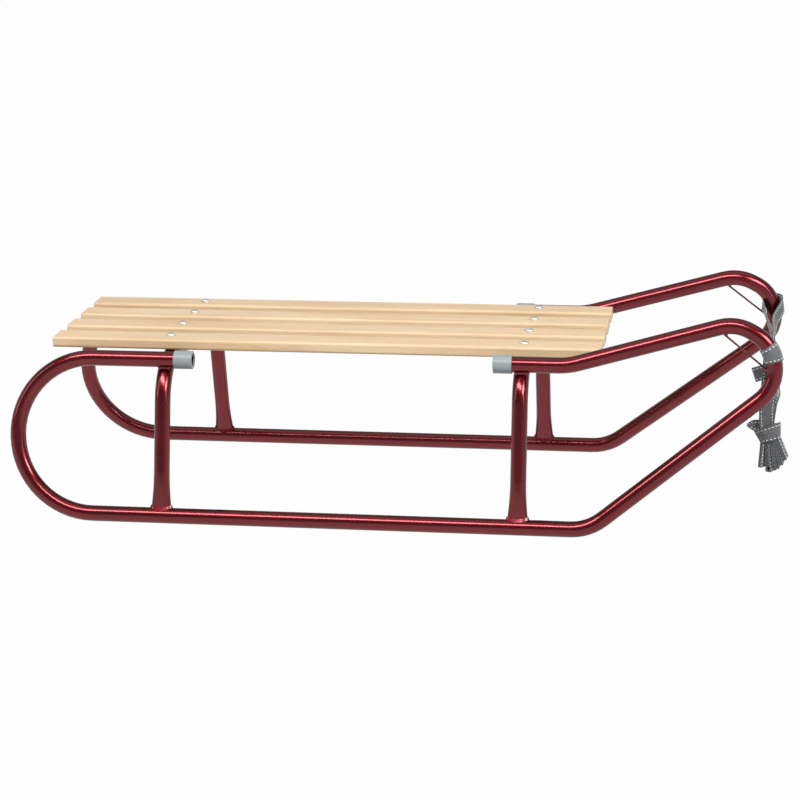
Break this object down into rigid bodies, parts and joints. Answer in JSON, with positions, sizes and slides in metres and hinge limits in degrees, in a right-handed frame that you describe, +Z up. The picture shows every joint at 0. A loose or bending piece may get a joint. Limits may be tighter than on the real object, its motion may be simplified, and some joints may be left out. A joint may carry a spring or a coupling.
{
  "type": "tubular steel sled",
  "caption": "Sled of bent steel tube with raised front horns, a slatted wooden seat bolted across arched legs, and a webbing tow strap.",
  "frame": {"origin": "bottom centre of the frame's box: on the ground, midway along the side tubes and midway between them", "axes": "+X forward, towards the horns; +Y to the rider's left; +Z up"},
  "size_m": [0.9789, 0.387, 0.2715],
  "materials": {
    "red_paint": "gloss metallic",
    "seat_wood": "clear lacquer, satin",
    "sleeve_plastic": "matte",
    "zinc_steel": "zinc plated",
    "grey_webbing": "woven webbing with pale stitching"
  },
  "bodies": {
    "root": {"side_tube_left": "red_paint", "side_tube_right": "red_paint", "rear_arch": "red_paint", "front_arch": "red_paint", "rear_sleeve_left": "sleeve_plastic", "rear_foot_weld_left": "red_paint", "rear_shoulder_weld_left": "red_paint", "rear_sleeve_right": "sleeve_plastic", "rear_foot_weld_right": "red_paint", "rear_shoulder_weld_right": "red_paint", "rear_bolt_1": "zinc_steel", "rear_nut_1": "zinc_steel", "rear_bolt_2": "zinc_steel", "rear_nut_2": "zinc_steel", "rear_bolt_3": "zinc_steel", "rear_nut_3": "zinc_steel", "rear_bolt_4": "zinc_steel", "rear_nut_4": "zinc_steel", "front_sleeve_left": "sleeve_plastic", "front_foot_weld_left": "red_paint", "front_shoulder_weld_left": "red_paint", "front_sleeve_right": "sleeve_plastic", "front_foot_weld_right": "red_paint", "front_shoulder_weld_right": "red_paint", "front_bolt_1": "zinc_steel", "front_nut_1": "zinc_steel", "front_bolt_2": "zinc_steel", "front_nut_2": "zinc_steel", "front_bolt_3": "zinc_steel", "front_nut_3": "zinc_steel", "front_bolt_4": "zinc_steel", "front_nut_4": "zinc_steel", "seat_slat_1": "seat_wood", "seat_slat_2": "seat_wood", "seat_slat_3": "seat_wood", "seat_slat_4": "seat_wood", "horn_chord_left": "red_paint", "horn_chord_right": "red_paint", "tow_strap_near_loop": "grey_webbing", "tow_strap_drop": "grey_webbing", "tow_strap_tail": "grey_webbing", "tow_strap_hank": "grey_webbing", "tow_strap_span": "grey_webbing", "tow_strap_far_loop": "grey_webbing"}
  },
  "joints": []
}
